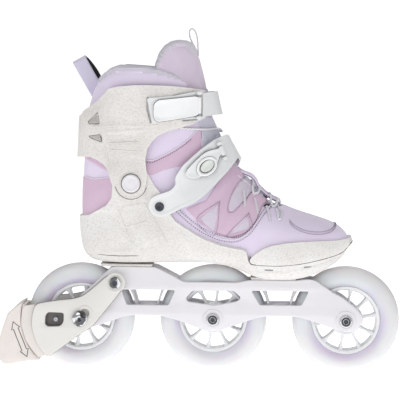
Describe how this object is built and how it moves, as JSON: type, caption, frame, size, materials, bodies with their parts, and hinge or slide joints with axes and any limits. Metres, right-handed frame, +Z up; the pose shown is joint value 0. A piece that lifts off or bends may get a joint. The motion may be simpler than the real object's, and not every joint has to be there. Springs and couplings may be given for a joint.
{
  "type": "inline skate",
  "caption": "Single inline skate: off-white boot shell with hinged cuff, lilac soft boot, ratchet straps, straight frame with large wheels in line and an adjustable heel brake.",
  "frame": {"origin": "on the floor under the middle wheel's axle, on the mid-plane of the wheels", "axes": "+X towards the toe, +Z up, -Y the outer side of the right foot"},
  "size_m": [0.4124, 0.1168, 0.3523],
  "materials": {
    "tyre": "translucent milky urethane, satin",
    "wheel_core": "gloss white",
    "steel": "bright steel",
    "dark_bolt": "dark steel",
    "frame_paint": "satin white paint",
    "brake_plate": "satin light grey paint",
    "brake_rubber": "matt light beige",
    "brake_holder": "matt light beige",
    "shell_plastic": "off-white, speckled",
    "cuff_plastic": "off-white, speckled",
    "lilac_fabric": "lilac knit and smooth panels",
    "grey_fabric": "grey-lilac knit",
    "trim_fabric": "pink webbing",
    "strap_plastic": "gloss white",
    "button_plastic": "gloss pale green",
    "webbing": "lilac-grey webbing"
  },
  "bodies": {
    "chassis": {"rear_spacer": "steel", "rear_axle": "steel", "middle_spacer": "steel", "middle_axle": "steel", "front_spacer": "steel", "front_axle": "steel", "frame": "frame_paint", "brake_plate_outer": "brake_plate", "brake_plate_inner": "brake_plate", "rear_mount_bolt": "dark_bolt", "front_mount_bolt": "dark_bolt", "instep_arm_bolt": "dark_bolt", "instep_strap_bolt": "dark_bolt", "brake_front_bolt_outer": "steel", "brake_front_bolt_inner": "steel", "cuff_pivot_outer": "steel", "cuff_pivot_inner": "steel", "instep_lever_pin": "steel", "tongue_lower": "grey_fabric", "insole": "grey_fabric", "upper": "lilac_fabric", "boot_shell": "shell_plastic", "toe_cap": "shell_plastic", "instep_arm": "strap_plastic", "instep_toothed_strap": "strap_plastic", "lace": "webbing", "lace_loop_outer_1": "trim_fabric", "lace_loop_inner_1": "trim_fabric", "lace_loop_outer_2": "trim_fabric", "lace_loop_inner_2": "trim_fabric", "lace_loop_outer_3": "trim_fabric", "lace_loop_inner_3": "trim_fabric"},
    "cuff_group": {"cuff": "cuff_plastic", "collar": "lilac_fabric", "tongue_upper": "lilac_fabric", "pull_tab": "webbing", "tongue_loop": "webbing", "cuff_buckle_base": "strap_plastic", "cuff_lever_pin": "steel", "cuff_strap": "strap_plastic", "cuff_strap_bolt": "dark_bolt"},
    "cuff_lever": {"cuff_buckle_lever": "strap_plastic"},
    "instep_lever_group": {"instep_lever": "strap_plastic"},
    "release_button": {"instep_release_button": "button_plastic"},
    "brake_group": {"brake_pad": "brake_rubber", "brake_pad_holder": "brake_holder", "brake_lock_bolt_outer": "dark_bolt", "brake_lock_bolt_inner": "dark_bolt"},
    "rear_wheel": {"rear_tyre": "tyre", "rear_hub": "wheel_core", "rear_bearing_outer": "steel", "rear_bearing_inner": "steel"},
    "middle_wheel": {"middle_tyre": "tyre", "middle_hub": "wheel_core", "middle_bearing_outer": "steel", "middle_bearing_inner": "steel"},
    "front_wheel": {"front_tyre": "tyre", "front_hub": "wheel_core", "front_bearing_outer": "steel", "front_bearing_inner": "steel"}
  },
  "joints": [
    {"name": "rear_wheel_spin", "type": "hinge", "parent": "chassis", "child": "rear_wheel", "pos_m": [-0.136, 0, 0.055], "axis": [0, 1, 0], "continuous": true},
    {"name": "middle_wheel_spin", "type": "hinge", "parent": "chassis", "child": "middle_wheel", "pos_m": [0, 0, 0.055], "axis": [0, 1, 0], "continuous": true},
    {"name": "front_wheel_spin", "type": "hinge", "parent": "chassis", "child": "front_wheel", "pos_m": [0.136, 0, 0.055], "axis": [0, 1, 0], "continuous": true},
    {"name": "cuff_flex", "type": "hinge", "parent": "chassis", "child": "cuff_group", "pos_m": [-0.0824, 0, 0.1955], "axis": [0, 1, 0], "range_deg": [-2, 8], "stiffness_Nm_per_rad": 20},
    {"name": "cuff_lever_open", "type": "hinge", "parent": "cuff_group", "child": "cuff_lever", "pos_m": [-0.0146, -0.04544, 0.2746], "axis": [0, 0, 1], "range_deg": [0, 75]},
    {"name": "instep_lever_open", "type": "hinge", "parent": "chassis", "child": "instep_lever_group", "pos_m": [0.0088, -0.03196, 0.2286], "axis": [-0.371, 0.0484, 0.9274], "range_deg": [0, 60], "stiffness_Nm_per_rad": 0.02},
    {"name": "release_button_press", "type": "slide", "parent": "instep_lever_group", "child": "release_button", "axis": [0, 1, 0], "range_m": [0, 0.0012], "stiffness_N_per_m": 300},
    {"name": "brake_height", "type": "hinge", "parent": "chassis", "child": "brake_group", "pos_m": [-0.136, 0, 0.055], "axis": [0, 1, 0], "range_deg": [-3, 6]}
  ]
}
